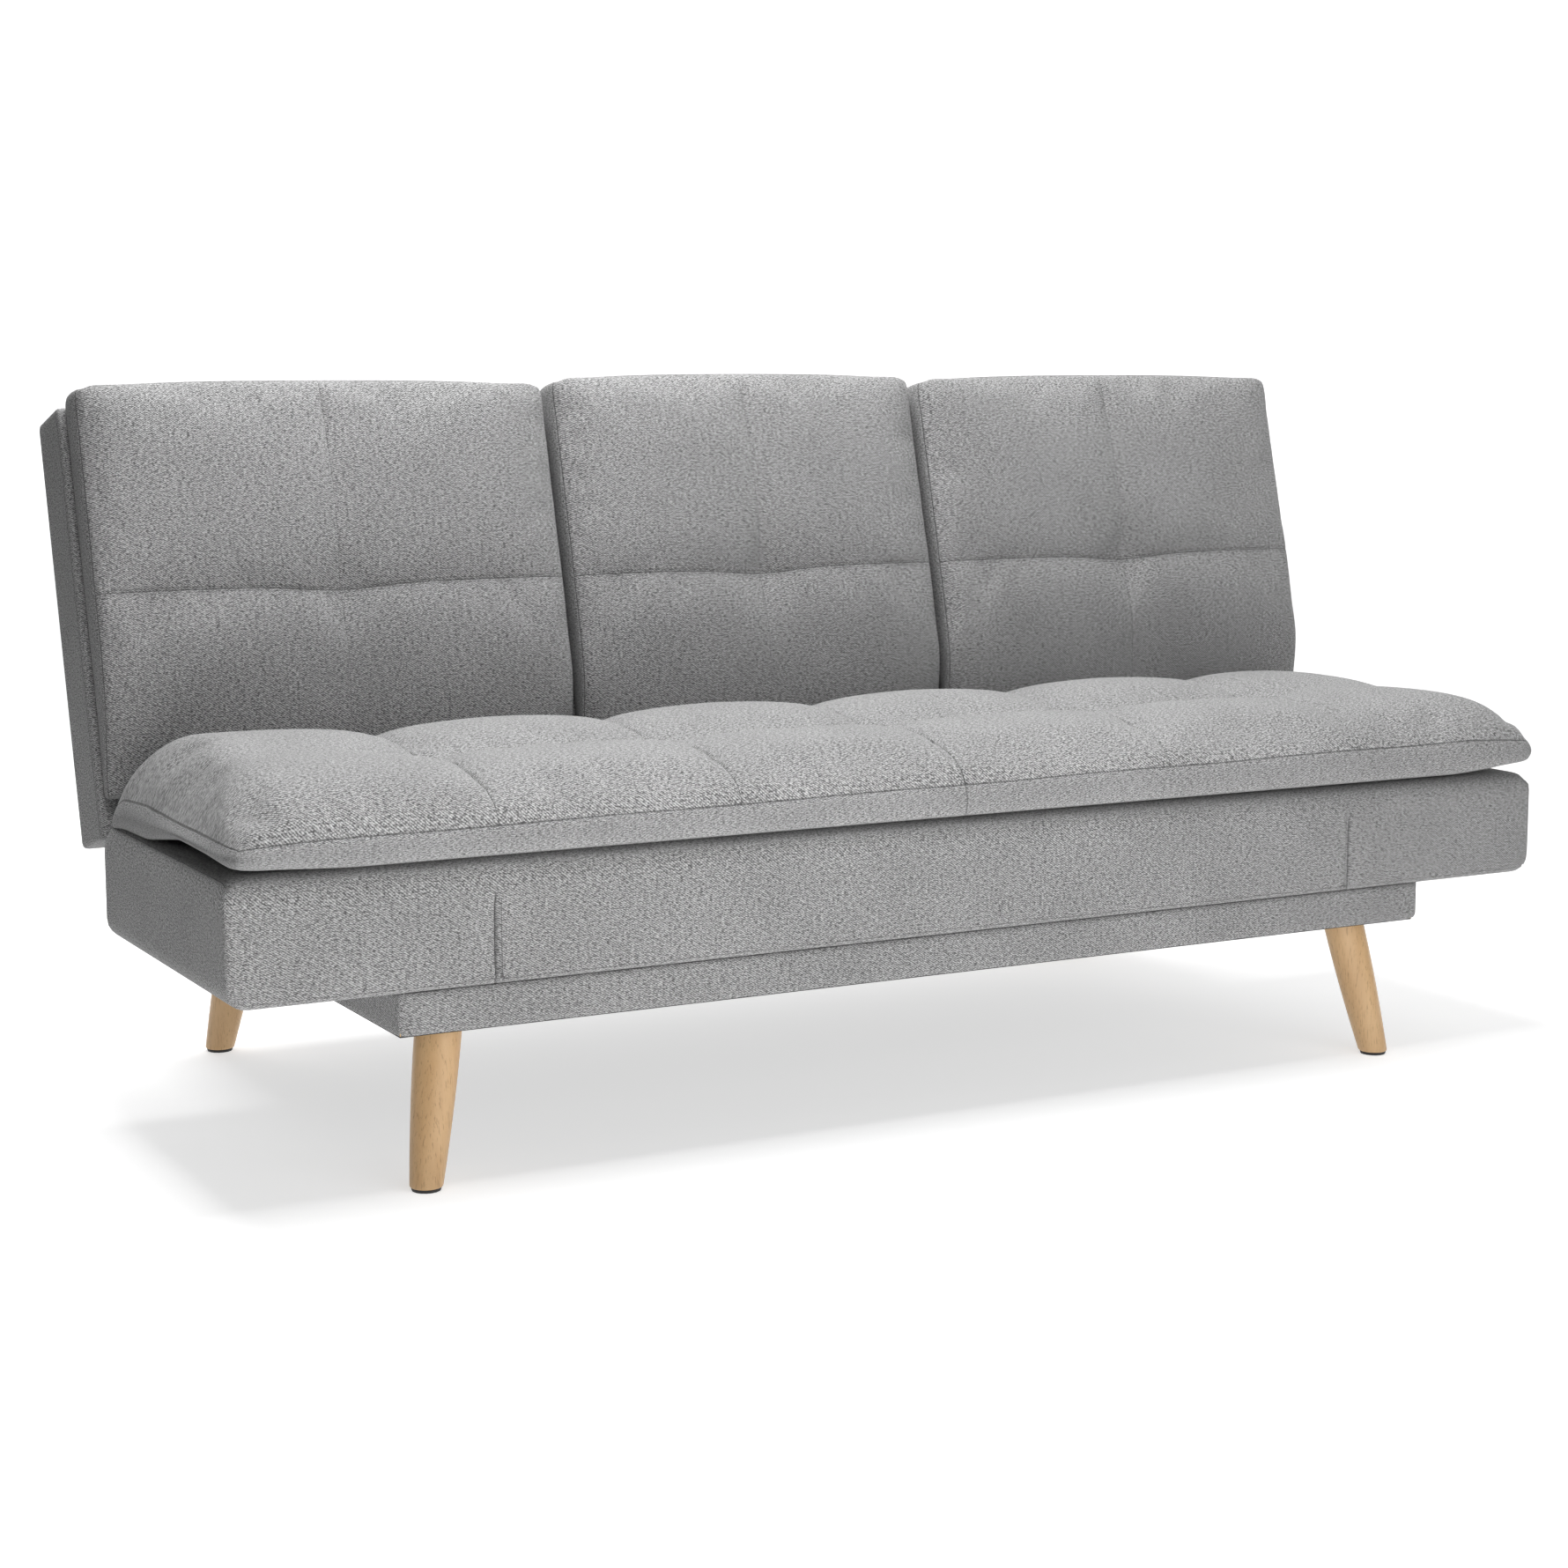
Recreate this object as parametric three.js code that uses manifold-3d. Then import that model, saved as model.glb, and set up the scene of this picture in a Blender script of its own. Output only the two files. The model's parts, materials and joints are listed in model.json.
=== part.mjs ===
// A three-section futon sofa bed: a plinth base on four splayed legs, a seat platform with two
// wings that fold up as arms, a pillow-top pad, and three backs that recline flat on their own.
// Millimetres. +X is to the right seen from the front, the front faces -Y, +Z is up. Inside this
// file Y is counted from the platform's front face, and the last lines move the whole sofa so that
// the origin is the middle of its footprint, on the floor.
import * as THREE from "three";
import { mergeVertices } from "three/addons/utils/BufferGeometryUtils.js";
import Module from "manifold-3d";

const wasm = await Module();
wasm.setup();

// ---- driving dimensions ---------------------------------------------------------------------
const GAP = 0.4; // air left between pieces that touch
const SKIN = 2.5; // upholstery fabric with its backing
const PLY = 12; // plywood decks
const BOARD = 18; // carcass walls

const seat = { halfWidth: 915, depth: 470, bottom: 234, top: 368, frontRound: 25, rearRound: 35 };
const seatEnd = { lowRound: 24, highRound: 18 }; // how round the wings' outer ends are
const fold = { x: 604, z: 338, swing: 75, slit: 1, knuckle: 12 };
const base = { halfWidth: 720, front: 4, rear: 800, bottom: 184, top: 232.6, rail: 90, side: 40 };
const leg = {
  footX: 680, frontY: 32, rearY: 788, splayX: 0.176, splayFront: 0.187, splayRear: 0.108,
  footRadius: 19, midRadius: 24.5, midway: 0.62, topRadius: 27, glide: 3.5,
};
const pad = { halfWidth: 910, front: -16, rear: 464, top: 480, round: 55, under: 16 };
const back = {
  lean: 15, frontY: 484, bottom: 350, thickness: 100, length: 530, halfWidth: 912,
  split: 279.5, splitGap: 8,
};
const cushion = { inset: 15, low: 49, high: 565, thin: 25, full: 60, fullFrom: 176, round: 24 };
const recline = { behind: 11.5, above: 10, knuckle: 9.5 }; // pivot, from the back's lower front edge
const PLATE = 5; // steel hinge plates
const PIN = 4; // pivot pin radius
const HOLE = 4.6; // the hole that turns on it

// ---- materials ------------------------------------------------------------------------------
const finish = (color, roughness, metalness = 0) =>
  new THREE.MeshStandardMaterial({ color, roughness, metalness });
const fabric = finish(0x979797, 0.95);
const foam = finish(0xe6dfc8, 0.9);
const plywood = finish(0xc9a878, 0.7);
const pine = finish(0xd8bd8c, 0.75);
const beech = finish(0xcfa877, 0.45);
const steel = finish(0x8d9196, 0.4, 0.9);
const plastic = finish(0x262626, 0.6);
const lining = finish(0x1f1f21, 0.95);

// ---- the scene graph ------------------------------------------------------------------------
const sofa = new THREE.Group();

function add(name, geometry, material, parent = sofa) {
  const mesh = new THREE.Mesh(geometry, material);
  mesh.name = name;
  parent.add(mesh);
  return mesh;
}

// ---- shapes ---------------------------------------------------------------------------------
const X = new THREE.Vector3(1, 0, 0);
const Y = new THREE.Vector3(0, 1, 0);
const Z = new THREE.Vector3(0, 0, 1);
const range = (a, b) => [Math.min(a, b), Math.max(a, b)];
const sides = [["left", -1], ["right", 1]];

function block([x0, x1], [y0, y1], [z0, z1]) {
  const size = [x1 - x0, y1 - y0, z1 - z0];
  return new THREE.BoxGeometry(...size).translate((x0 + x1) / 2, (y0 + y1) / 2, (z0 + z1) / 2);
}

function prism(shape, depth) {
  return new THREE.ExtrudeGeometry(shape, { depth, bevelEnabled: false, curveSegments: 5 });
}

// A (y, z) outline drawn out along X.
function alongX(shape, [x0, x1]) {
  const turn = new THREE.Matrix4().makeBasis(Y, Z, X);
  return prism(shape, x1 - x0).applyMatrix4(turn).translate(x0, 0, 0);
}

// An (x, z) outline drawn out along Y.
function alongY(shape, [y0, y1]) {
  const turn = new THREE.Matrix4().makeBasis(X, Z, Y.clone().negate());
  return prism(shape, y1 - y0).applyMatrix4(turn).translate(0, y1, 0);
}

function outline(points) {
  return new THREE.Shape(points.map(([a, b]) => new THREE.Vector2(a, b)));
}

// A rectangle with its own radius at each corner, from the lower left, anticlockwise.
function rounded([a0, a1], [b0, b1], radii) {
  const [lowA, lowB, highB, highA] = radii;
  const quarter = Math.PI / 2;
  const shape = new THREE.Shape();
  shape.moveTo(a0 + lowA, b0);
  shape.lineTo(a1 - lowB, b0);
  if (lowB) shape.absarc(a1 - lowB, b0 + lowB, lowB, -quarter, 0);
  shape.lineTo(a1, b1 - highB);
  if (highB) shape.absarc(a1 - highB, b1 - highB, highB, 0, quarter);
  shape.lineTo(a0 + highA, b1);
  if (highA) shape.absarc(a0 + highA, b1 - highA, highA, quarter, 2 * quarter);
  shape.lineTo(a0, b0 + lowA);
  if (lowA) shape.absarc(a0 + lowA, b0 + lowA, lowA, 2 * quarter, 3 * quarter);
  return shape;
}

// ---- joining and cutting --------------------------------------------------------------------
function solid(geometry) {
  const bare = geometry.clone();
  for (const name of ["normal", "uv"]) bare.deleteAttribute(name);
  const merged = mergeVertices(bare, 1e-3);
  return new wasm.Manifold(
    new wasm.Mesh({
      numProp: 3,
      vertProperties: merged.attributes.position.array,
      triVerts: new Uint32Array(merged.index.array),
    }),
  );
}

function surface(manifold) {
  const { vertProperties, triVerts } = manifold.getMesh();
  const geometry = new THREE.BufferGeometry();
  geometry.setAttribute("position", new THREE.BufferAttribute(new Float32Array(vertProperties), 3));
  geometry.setIndex(new THREE.BufferAttribute(new Uint32Array(triVerts), 1));
  geometry.computeVertexNormals();
  return geometry;
}

const cut = (whole, ...tools) =>
  surface(tools.reduce((kept, tool) => kept.subtract(solid(tool)), solid(whole)));
const join = (first, ...others) =>
  surface(others.reduce((kept, other) => kept.add(solid(other)), solid(first)));
const common = (first, ...others) =>
  surface(others.reduce((kept, other) => kept.intersect(solid(other)), solid(first)));

// ---- the base -------------------------------------------------------------------------------
const railZ = [base.bottom + 1.6, base.top];
const railFront = base.front + SKIN;
const railRear = base.rear - SKIN;
const betweenRails = [railFront + base.rail + GAP, railRear - base.rail - GAP];
const bracketX = [244.5, 314.5]; // outer faces of a middle bracket's two ears
const outerEarX = 693.5;

function baseFrame() {
  const half = base.halfWidth - SKIN;
  add("base_front_rail", block([-half, half], [railFront, railFront + base.rail], railZ), pine);
  add("base_rear_rail", block([-half, half], [railRear - base.rail, railRear], railZ), pine);
  for (const [side, s] of sides) {
    const rail = block(range(s * (half - base.side), s * half), betweenRails, railZ);
    add(`base_${side}_rail`, rail, pine);
    const stretcherX = range(s * (bracketX[0] - 8), s * (bracketX[1] + 8));
    add(`base_${side}_stretcher`, block(stretcherX, betweenRails, railZ), pine);
  }
}

function baseCovers() {
  const z = [base.bottom, base.top];
  const w = base.halfWidth;
  const skin = SKIN - GAP;
  add("base_cover_front", block([-w, w], [base.front, base.front + skin], z), fabric);
  add("base_cover_rear", block([-w, w], [base.rear - skin, base.rear], z), fabric);
  const y = [railFront, railRear];
  add("base_cover_left", block([-w, skin - w], y, z), fabric);
  add("base_cover_right", block([w - skin, w], y, z), fabric);
  const half = w - SKIN;
  add("base_dust_cover", block([-half, half], y, [base.bottom, base.bottom + 1.2]), lining);
}

// A turned, tapered leg: flat on the floor and flat under the base, sheared to its splay.
function legPieces() {
  const top = base.bottom - GAP;
  const foot = leg.glide + GAP;
  const height = top - foot;
  const profile = [
    [0, 0], [leg.footRadius, 0], [leg.midRadius, height * leg.midway], [leg.topRadius, height],
    [0, height],
  ].map(([r, z]) => new THREE.Vector2(r, z));
  const ends = [
    { end: "front", y: leg.frontY, splayY: leg.splayFront },
    { end: "rear", y: leg.rearY, splayY: -leg.splayRear },
  ];
  for (const { end, y, splayY } of ends)
    for (const [side, s] of sides) {
      const shear = new THREE.Matrix4().set(
        1, 0, -s * leg.splayX, s * leg.footX,
        0, 1, splayY, y,
        0, 0, 1, foot,
        0, 0, 0, 1,
      );
      const turned = new THREE.LatheGeometry(profile, 20).rotateX(Math.PI / 2);
      add(`leg_${end}_${side}`, turned.applyMatrix4(shear), beech);
      const [wide, narrow] = [leg.footRadius - 1.5, leg.footRadius - 2.5];
      const glide = new THREE.CylinderGeometry(wide, narrow, leg.glide, 16);
      glide.rotateX(Math.PI / 2).translate(s * leg.footX, y, leg.glide / 2);
      add(`foot_glide_${end}_${side}`, glide, plastic);
    }
}

// ---- the seat platform and its wings ----------------------------------------------------------
const lean = Math.tan(THREE.MathUtils.degToRad(fold.swing / 2));
const FAR = 2000;

// Everything above the fold axis and within half the swing of it, where the upholstery must give.
function foldWedge(side, clearance) {
  const rise = 200;
  const x = side * fold.x;
  const half = clearance + rise * lean;
  const bottom = [[x - clearance, fold.z], [x + clearance, fold.z]];
  const top = [[x + half, fold.z + rise], [x - half, fold.z + rise]];
  return alongY(outline([...bottom, ...top]), [-FAR, FAR]);
}

const wedges = () => [foldWedge(-1, fold.slit), foldWedge(1, fold.slit)];

// The platform's outer section, pulled in by a distance on every side.
function platformSection(inset, xRange) {
  const y = [inset, seat.depth - inset];
  const z = [seat.bottom + inset, seat.top - inset];
  const radii = [6, 6, seat.rearRound, seat.frontRound].map((r) => Math.max(r - inset, 1));
  return alongX(rounded(y, z, radii), xRange);
}

// What lies within the platform's rounded ends, pulled in by the same distance.
function platformEnds(inset) {
  const { lowRound, highRound } = seatEnd;
  const x = [inset - seat.halfWidth, seat.halfWidth - inset];
  const z = [seat.bottom + inset, seat.top - inset];
  const radii = [lowRound, lowRound, highRound, highRound].map((r) => r - inset);
  return alongY(rounded(x, z, radii), [-FAR, FAR]);
}

const hem = 34; // fabric turned under the platform and stapled

function platformCover(xRange, inside) {
  const opening = block(inside, [hem, seat.depth - hem], [seat.bottom - 1, seat.bottom + SKIN + 1]);
  const hollow = common(platformSection(SKIN, inside), platformEnds(SKIN));
  const outside = common(platformSection(0, xRange), platformEnds(0));
  return cut(outside, hollow, opening, ...wedges());
}

function platformFoam(xRange) {
  const layer = block(xRange, [-FAR, FAR], [fold.z + PLY + GAP, FAR]);
  const filling = common(platformSection(SKIN + GAP, xRange), layer, platformEnds(SKIN + GAP));
  return cut(filling, ...wedges());
}

const carcassY = [SKIN + 3, seat.depth - 9];
const wallZ = [seat.bottom + SKIN + GAP, fold.z];
const deckEnd = 18; // the decks stop this far from the fold axis, clear of the hinge knuckles

// A plywood deck on front and rear walls, open at the folds so that the hinges pass through.
function carcass(wallX, deckX, ...ribs) {
  const [front, rear] = carcassY;
  return join(
    block(deckX, carcassY, [fold.z - 0.01, fold.z + PLY]),
    block(wallX, [front, front + BOARD], wallZ),
    block(wallX, [rear - BOARD, rear], wallZ),
    ...ribs.map((x) => block(x, [front + 1, rear - 1], wallZ)),
  );
}

function seatPieces() {
  const x = fold.x - fold.slit;
  const deck = fold.x - deckEnd;
  const rib = (at) => [at - BOARD / 2, at + BOARD / 2];
  add("seat_carcass", carcass([-x, x], [-deck, deck], rib(-280), rib(0), rib(280)), plywood);
  add("seat_foam", platformFoam([-x, x]), foam);
  add("seat_cover", platformCover([-x, x], [-FAR, FAR]), fabric);
}

function wingPieces(name, side) {
  const inner = side * (fold.x + fold.slit);
  const end = side * seat.halfWidth;
  const inEnd = end - side * SKIN;
  const endWall = end - side * (SKIN + GAP + 1);
  const wall = range(inner, endWall);
  const deck = range(side * (fold.x + deckEnd), endWall);
  const frame = carcass(wall, deck, range(endWall, endWall - side * BOARD));
  add(`wing_${name}_carcass`, common(frame, platformEnds(SKIN + GAP)), plywood);
  add(`wing_${name}_foam`, platformFoam(range(inner, inEnd - side * GAP)), foam);
  add(`wing_${name}_cover`, platformCover(range(inner, end), range(inner - side, inEnd)), fabric);
}

// ---- the wing hinges --------------------------------------------------------------------------
const leafLength = 104;
const leafZ = [fold.z - 27, fold.z - 1.5];

// A steel leaf in the (x, z) plane: a bar on a round knuckle at the fold axis.
function leaf(side, towards, y) {
  const x = side * fold.x;
  const bar = block(range(x, x + towards * leafLength), y, leafZ);
  return join(bar, foldCylinder(side, fold.knuckle, y, 16));
}

function foldCylinder(side, radius, [y0, y1], segments) {
  const round = new THREE.CylinderGeometry(radius, radius, y1 - y0, segments);
  return round.translate(side * fold.x, (y0 + y1) / 2, fold.z);
}

function wingHinges(name, side) {
  const [front, rear] = carcassY;
  for (const [end, wallFace, inwards] of [["front", front + BOARD, 1], ["rear", rear - BOARD, -1]]) {
    const at = (from, to) => range(wallFace + inwards * from, wallFace + inwards * to);
    const fixedY = at(GAP, GAP + PLATE);
    const movingY = at(2 * GAP + PLATE, 2 * GAP + 2 * PLATE);
    const pin = foldCylinder(side, PIN, at(GAP + PLATE - 1, 2 * GAP + 2 * PLATE + 2), 12);
    const fixed = join(leaf(side, -side, fixedY), pin);
    const hole = foldCylinder(side, HOLE, at(0, 30), 12);
    add(`wing_hinge_fixed_${end}_${name}`, fixed, steel);
    add(`wing_hinge_moving_${end}_${name}`, cut(leaf(side, side, movingY), hole), steel);
  }
}

// ---- the pillow-top pad -------------------------------------------------------------------------
function padSection(xRange) {
  const z = [seat.top + 1, pad.top];
  const radii = [pad.under, pad.under, pad.round, pad.round];
  return alongX(rounded([pad.front, pad.rear], z, radii), xRange);
}

// The pad with the platform's upholstery under it, for the strip that bends over each fold.
function foldSection(xRange) {
  const strip = rounded([SKIN, pad.rear - SKIN], [fold.z, pad.top], [1, 1, pad.round, pad.round]);
  return alongX(strip, xRange);
}

function padPieces() {
  const whole = [-pad.halfWidth, pad.halfWidth];
  const above = block([-FAR, FAR], [-FAR, FAR], [fold.z + fold.knuckle + 2, FAR]);
  add("pad_centre", cut(padSection([-fold.x, fold.x]), ...wedges()), fabric);
  for (const [name, s] of sides) {
    const wing = padSection(range(s * fold.x, s * pad.halfWidth));
    add(`pad_wing_${name}`, cut(wing, foldWedge(s, fold.slit)), fabric);
    const soft = common(foldWedge(s, fold.slit - GAP), foldSection(whole), above);
    add(`pad_fold_${name}`, soft, fabric);
  }
}

// ---- the backs ----------------------------------------------------------------------------------
// In a back's own group, Y runs from its front face to its rear and Z runs up its slope.
const backSections = [
  { name: "left", x: [-back.halfWidth, -back.split - back.splitGap / 2], ears: [-1] },
  { name: "centre", x: [-back.split + back.splitGap / 2, back.split - back.splitGap / 2], ears: [] },
  { name: "right", x: [back.split + back.splitGap / 2, back.halfWidth], ears: [1] },
];

const slotWide = 12.2;
const slotHigh = 24;
const besideEar = 2; // air between an ear and the side of its slot
const armThick = PLATE - 0.8;

// For each hinge of a section: where its slot is, and the arm beside the fixed ear.
function hingePlaces(name) {
  const places = [];
  const place = (end, side, earInner, armOutwards) => {
    const out = armOutwards ? 1 : -1;
    const face = armOutwards ? earInner + PLATE + GAP : earInner - GAP;
    const armX = range(side * face, side * (face + out * armThick));
    const slotAt = armOutwards ? earInner - besideEar : earInner + PLATE + besideEar;
    const slotX = range(side * slotAt, side * (slotAt + out * slotWide));
    places.push({ end, armX, slotX });
  };
  if (name === "centre") {
    place("left", -1, bracketX[0], true);
    place("right", 1, bracketX[0], true);
  } else {
    const side = name === "left" ? -1 : 1;
    place("inner", side, bracketX[1] - PLATE, false);
    place("outer", side, outerEarX, true);
  }
  return places;
}

const slot = (x) => block(x, [-1, back.thickness + 1], [-1, slotHigh]);

// A plywood box behind a front panel. It starts above the slots, and its floor leaves room for the
// arms, which rise beside the walls and stiles.
function backCarcass(x, places, stiles) {
  const [x0, x1] = [x[0] + 3, x[1] - 3];
  const y = [3, back.thickness - 3.2];
  const z = [slotHigh + 2, back.length - 3];
  const walls = [
    block([x0, x1], y, [z[1] - BOARD, z[1]]),
    block([x0, x0 + BOARD], y, z),
    block([x1 - BOARD, x1], y, z),
    ...stiles.map((at) => block(at, y, z)),
  ];
  const floor = block([x0 + 1, x1 - 1], y, [z[0], z[0] + BOARD]);
  const panel = block([x0, x1], [y[0], y[0] + PLY], z);
  const armWells = places.map(({ armX }) => block([armX[0] - 1, armX[1] + 1], [y[0] + PLY, FAR], z));
  return join(panel, ...walls, cut(floor, ...armWells));
}

function backCover(x, places) {
  const whole = alongX(rounded([0, back.thickness], [0, back.length], [10, 4, 4, 12]), x);
  const inside = block([x[0] + SKIN, x[1] - SKIN], [-1, back.thickness - SKIN],
    [SKIN, back.length - SKIN]);
  return cut(whole, inside, ...places.map((p) => slot(p.slotX)));
}

function backCushion(x) {
  const { low, high, thin, full, fullFrom, round } = cushion;
  const shape = new THREE.Shape();
  shape.moveTo(-GAP, low);
  shape.lineTo(-GAP, high);
  shape.lineTo(round - full, high);
  shape.absarc(round - full, high - round, round, Math.PI / 2, Math.PI);
  shape.lineTo(-full, fullFrom);
  shape.lineTo(-thin, low);
  return alongX(shape, x);
}

const armReach = 40; // how far the arm goes in from the back's front face
const armRise = 110; // and how far up the slope

// A steel arm that turns on the ear's pin, reaches back through the slot and up the side wall.
function reclineArm(x) {
  const { behind, above, knuckle } = recline;
  const round = new THREE.CylinderGeometry(knuckle, knuckle, x[1] - x[0], 16);
  round.rotateZ(Math.PI / 2).translate((x[0] + x[1]) / 2, behind, above);
  const hole = new THREE.CylinderGeometry(HOLE, HOLE, 20, 12);
  hole.rotateZ(Math.PI / 2).translate((x[0] + x[1]) / 2, behind, above);
  const reach = block(x, [behind, armReach], [4, 20]);
  const rise = block(x, [armReach - 20, armReach], [4, armRise]);
  return cut(join(round, reach, rise), hole);
}

function backPieces() {
  for (const { name, x } of backSections) {
    const group = new THREE.Group();
    group.position.set(0, back.frontY, back.bottom);
    group.rotation.x = -THREE.MathUtils.degToRad(back.lean);
    sofa.add(group);
    const places = hingePlaces(name);
    const side = name === "left" ? -1 : 1;
    const stileFrom = outerEarX + 2 * PLATE + 0.2;
    const stiles = name === "centre" ? [] : [range(side * stileFrom, side * (stileFrom + BOARD))];
    const outerLeft = name === "left" ? cushion.inset : 2;
    const outerRight = name === "right" ? cushion.inset : 2;
    const cushionX = [x[0] + outerLeft, x[1] - outerRight];
    add(`back_${name}_carcass`, backCarcass(x, places, stiles), plywood, group);
    add(`back_${name}_cover`, backCover(x, places), fabric, group);
    add(`back_${name}_cushion`, backCushion(cushionX), fabric, group);
    for (const { end, armX } of places)
      add(`recline_arm_${name}_${end}`, reclineArm(armX), steel, group);
  }
}

// ---- the recline brackets -------------------------------------------------------------------
const leanAngle = THREE.MathUtils.degToRad(back.lean);
const pivot = {
  y: back.frontY + recline.behind * Math.cos(leanAngle) + recline.above * Math.sin(leanAngle),
  z: back.bottom - recline.behind * Math.sin(leanAngle) + recline.above * Math.cos(leanAngle),
};
const bracketY = [seat.depth + 5, seat.depth + 85];
const footThick = 4;
const earRoot = { rear: bracketY[0] + 60, high: 10 };
const neck = 98; // the ear stays narrow this far below the pivot, clear of a back that lies flat

// An upright ear with a round head at the pivot.
function ear(x) {
  const foot = base.top + GAP;
  const { y, z } = pivot;
  const r = recline.knuckle;
  const shape = new THREE.Shape();
  shape.moveTo(y - r, foot);
  shape.lineTo(earRoot.rear, foot);
  shape.lineTo(earRoot.rear, foot + earRoot.high);
  shape.lineTo(y + r, z - neck);
  shape.absarc(y, z, r, 0, Math.PI);
  return alongX(shape, x);
}

function pivotPin([x0, x1]) {
  const pin = new THREE.CylinderGeometry(PIN, PIN, x1 - x0, 12).rotateZ(Math.PI / 2);
  return pin.translate((x0 + x1) / 2, pivot.y, pivot.z);
}

function reclineBrackets() {
  const footZ = [base.top + GAP, base.top + GAP + footThick];
  const pinReach = PLATE - 0.3;
  for (const [name, s] of sides) {
    const [inner, outer] = bracketX;
    const foot = block(range(s * inner, s * outer), bracketY, footZ);
    const innerEar = range(s * inner, s * (inner + PLATE));
    const outerEar = range(s * (outer - PLATE), s * outer);
    const pins = [
      pivotPin(range(s * (inner + 1), s * (inner + PLATE + pinReach))),
      pivotPin(range(s * (outer - 1), s * (outer - PLATE - pinReach))),
    ];
    add(`recline_bracket_middle_${name}`, join(foot, ear(innerEar), ear(outerEar), ...pins), steel);
    const edge = outerEarX;
    const outerFoot = block(range(s * edge, s * (base.halfWidth - 6)), bracketY, footZ);
    const upright = ear(range(s * edge, s * (edge + PLATE)));
    const pin = pivotPin(range(s * (edge + 1), s * (edge + PLATE + pinReach)));
    add(`recline_bracket_outer_${name}`, join(outerFoot, upright, pin), steel);
  }
}

// ---- the whole sofa -------------------------------------------------------------------------
baseFrame();
baseCovers();
legPieces();
seatPieces();
for (const [name, side] of sides) {
  wingPieces(name, side);
  wingHinges(name, side);
}
padPieces();
backPieces();
reclineBrackets();

// The footprint runs from the pad's front edge to the rear legs' feet.
const footprintRear = leg.rearY + leg.footRadius;
sofa.position.y = -(pad.front + footprintRear) / 2;

export default sofa;
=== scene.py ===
"""A three-section futon sofa bed in heathered grey twill, on turned beech legs.

Metres. +X is to the right seen from the front, the front faces -Y, +Z is up. Places come from the
boxes of the CAD nodes and from the joints.
"""
import json
import math

import bpy
import numpy as np
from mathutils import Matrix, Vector


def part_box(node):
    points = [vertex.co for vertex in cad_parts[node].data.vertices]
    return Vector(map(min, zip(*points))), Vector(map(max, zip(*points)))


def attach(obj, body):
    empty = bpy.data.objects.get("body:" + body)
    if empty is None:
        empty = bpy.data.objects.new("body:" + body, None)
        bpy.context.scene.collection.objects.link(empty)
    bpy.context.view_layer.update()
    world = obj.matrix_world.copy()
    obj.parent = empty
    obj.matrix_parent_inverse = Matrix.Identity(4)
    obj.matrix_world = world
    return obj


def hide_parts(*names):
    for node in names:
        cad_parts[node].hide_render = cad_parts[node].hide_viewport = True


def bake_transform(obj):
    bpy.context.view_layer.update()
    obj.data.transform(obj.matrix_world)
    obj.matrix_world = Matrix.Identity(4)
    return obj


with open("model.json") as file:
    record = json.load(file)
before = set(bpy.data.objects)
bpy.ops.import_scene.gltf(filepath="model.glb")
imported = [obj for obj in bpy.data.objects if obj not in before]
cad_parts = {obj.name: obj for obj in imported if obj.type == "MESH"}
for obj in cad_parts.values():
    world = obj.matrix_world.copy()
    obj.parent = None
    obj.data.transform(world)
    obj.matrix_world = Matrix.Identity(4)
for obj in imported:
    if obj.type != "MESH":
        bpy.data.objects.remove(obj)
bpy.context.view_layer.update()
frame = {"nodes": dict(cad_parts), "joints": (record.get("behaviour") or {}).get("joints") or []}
MM = 0.001

# ---- places taken from the frame --------------------------------------------------------------
joints = {joint["name"]: joint for joint in frame["joints"]}
seat_low, seat_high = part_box("seat_cover")
wing_low, wing_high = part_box("wing_left_cover")
pad_low, pad_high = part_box("pad_centre")
pad_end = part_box("pad_wing_right")[1].x
base_low, base_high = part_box("base_cover_front")
base_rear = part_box("base_cover_rear")[1].y
fold_x = joints["wing_right_fold"]["pos_m"][0]
fold_z = joints["wing_right_fold"]["pos_m"][2]
SIDES = (("left", -1), ("right", 1))
BACKS = ("left", "centre", "right")

# A back leans this much; its recline pivot is this far behind and above its lower front edge.
LEAN = math.radians(15)
PIVOT_BEHIND, PIVOT_ABOVE = 11.5 * MM, 10 * MM
DOWN_DEPTH = Vector((0, math.cos(LEAN), -math.sin(LEAN)))
UP_SLOPE = Vector((0, math.sin(LEAN), math.cos(LEAN)))
pivot = Vector(joints["back_centre_recline"]["pos_m"])
back_origin = Vector((0, *(pivot - PIVOT_BEHIND * DOWN_DEPTH - PIVOT_ABOVE * UP_SLOPE).yz))


def leaned(points):
    """Points (x, depth, slope) in a back's own axes, put in the sofa's frame."""
    points = np.asarray(points, float)
    out = np.outer(points[:, 0], (1.0, 0.0, 0.0))
    out += np.outer(points[:, 1], DOWN_DEPTH) + np.outer(points[:, 2], UP_SLOPE)
    return out + np.array(back_origin)


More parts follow.
